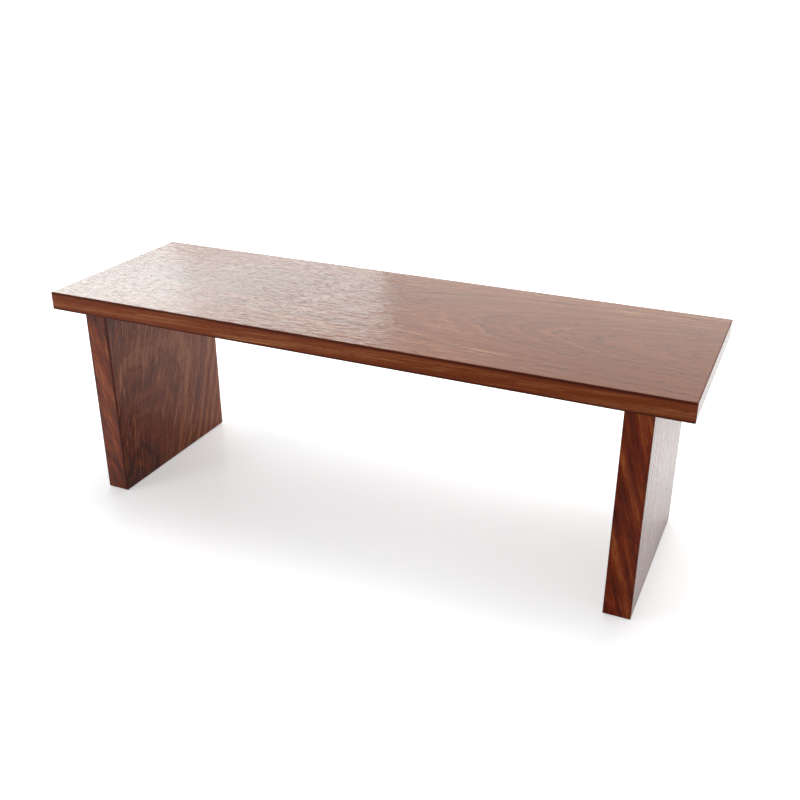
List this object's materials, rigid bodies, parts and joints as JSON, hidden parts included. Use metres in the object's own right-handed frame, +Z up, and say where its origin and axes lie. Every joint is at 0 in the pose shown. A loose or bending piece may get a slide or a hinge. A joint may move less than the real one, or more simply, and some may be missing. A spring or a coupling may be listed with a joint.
{
  "type": "bathroom bench",
  "caption": "Backless solid wood bench for a bathroom: a straight slab top with overhanging ends on wide slab legs, edges lightly eased, on low glides",
  "frame": {"origin": "On the floor under the middle of the bench, level with the glides' faces", "axes": "+X runs along the bench to the right-hand end, -Y is the front and +Z is up"},
  "size_m": [1.288, 0.411, 0.45],
  "materials": {
    "top_wood": "satin lacquer",
    "leg_wood": "satin lacquer",
    "dowel_beech": "bare, glued",
    "black_steel": "matt black powder coat",
    "bolt_steel": "black oxide",
    "zinc_steel": "bright zinc plate",
    "insert_brass": "plain turned",
    "glide_nylon": "matt moulded"
  },
  "bodies": {
    "root": {"top_front_board": "top_wood", "top_middle_board": "top_wood", "top_back_board": "top_wood", "left_leg_front_board": "leg_wood", "left_leg_middle_board": "leg_wood", "left_leg_back_board": "leg_wood", "right_leg_front_board": "leg_wood", "right_leg_middle_board": "leg_wood", "right_leg_back_board": "leg_wood", "left_dowels": "dowel_beech", "right_dowels": "dowel_beech", "left_angle_bracket": "black_steel", "right_angle_bracket": "black_steel", "left_top_inserts": "insert_brass", "right_top_inserts": "insert_brass", "left_leg_inserts": "insert_brass", "right_leg_inserts": "insert_brass", "left_top_bolts": "bolt_steel", "right_top_bolts": "bolt_steel", "left_leg_bolts": "bolt_steel", "right_leg_bolts": "bolt_steel", "left_washers": "zinc_steel", "right_washers": "zinc_steel", "left_front_glide": "glide_nylon", "left_back_glide": "glide_nylon", "right_front_glide": "glide_nylon", "right_back_glide": "glide_nylon", "left_glide_screws": "zinc_steel", "right_glide_screws": "zinc_steel"}
  },
  "joints": []
}
